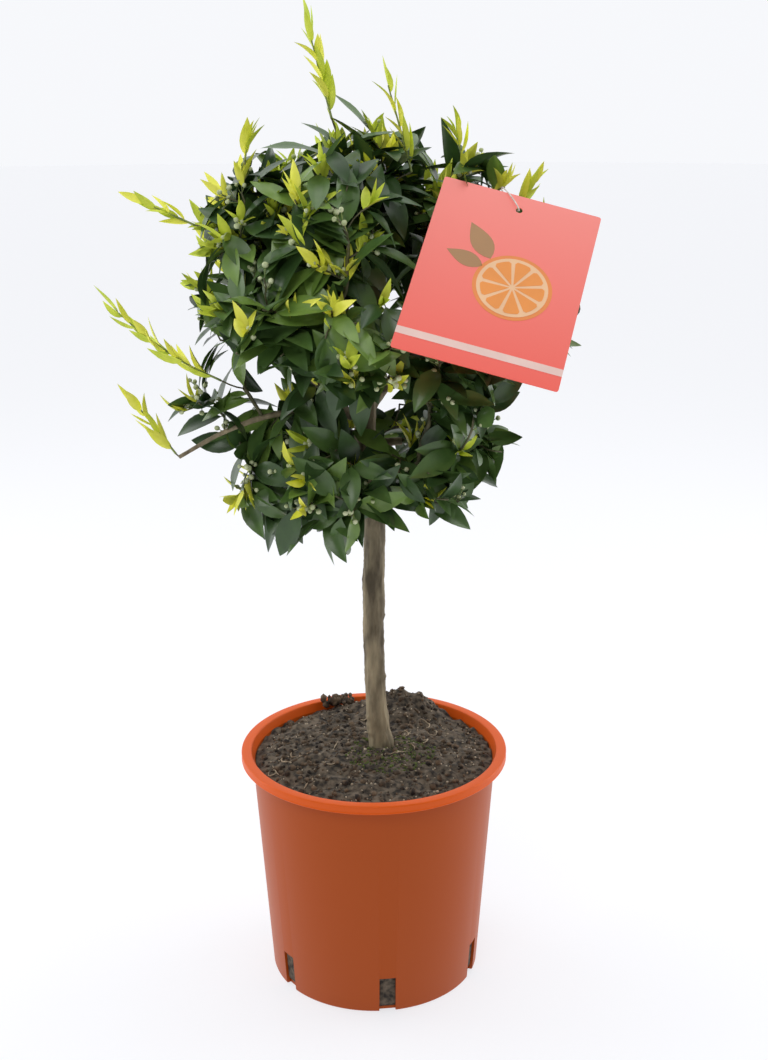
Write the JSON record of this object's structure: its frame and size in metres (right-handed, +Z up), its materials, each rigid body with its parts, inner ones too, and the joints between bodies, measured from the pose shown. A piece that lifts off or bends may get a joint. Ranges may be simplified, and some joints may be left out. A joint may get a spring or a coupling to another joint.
{
  "type": "potted citrus tree",
  "caption": "Small standard citrus tree with a round leafy head on a bare stem, in a tapered nursery pot with drain slots and a bare hang card.",
  "frame": {"origin": "middle of the pot's flat underside", "axes": "+Z up along the stem, +Y towards the back, so that -Y is the side with the hang card"},
  "size_m": [0.3704, 0.3107, 0.7854],
  "materials": {
    "terracotta_plastic": "satin",
    "compost": "crumbly, moist",
    "bark": "smooth young bark",
    "leaves": "glossy leaf",
    "young_leaves": "soft young leaf",
    "card_print": "satin print",
    "twine": "matt"
  },
  "bodies": {
    "root": {"pot": "terracotta_plastic", "soil": "compost", "trunk": "bark", "bough_leader": "bark", "bough_right": "bark", "bough_upper_right": "bark", "bough_upper_left": "bark", "bough_front": "bark", "bough_front_left": "bark", "bough_back_right": "bark", "bough_back_left": "bark", "bough_lower_right": "bark", "bough_lower_left": "bark", "foliage_top": "leaves", "foliage_upper_left": "leaves", "foliage_upper_front": "leaves", "foliage_upper_right": "leaves", "foliage_upper_back_left": "leaves", "foliage_upper_back_right": "leaves", "foliage_right_shoulder": "leaves", "foliage_middle_left": "leaves", "foliage_middle_front_left": "leaves", "foliage_middle_front": "leaves", "foliage_middle_front_right": "leaves", "foliage_middle_right": "leaves", "foliage_middle_back_right": "leaves", "foliage_middle_back_left": "leaves", "foliage_left_spray": "leaves", "foliage_lower_left": "leaves", "foliage_lower_front": "leaves", "foliage_lower_front_right": "leaves", "foliage_lower_right": "leaves", "foliage_lower_back_right": "leaves", "foliage_lower_back_left": "leaves", "shoot_top": "young_leaves", "shoot_top_right": "young_leaves", "shoot_upper_left_tuft": "young_leaves", "shoot_upper_left": "young_leaves", "shoot_middle_left": "young_leaves", "shoot_lower_left": "young_leaves", "shoot_upper_right": "young_leaves", "shoot_right_tuft": "young_leaves", "shoot_back": "young_leaves", "shoot_back_right": "young_leaves", "shoot_back_left": "young_leaves", "hang_card": "card_print", "hang_string": "twine"}
  },
  "joints": []
}
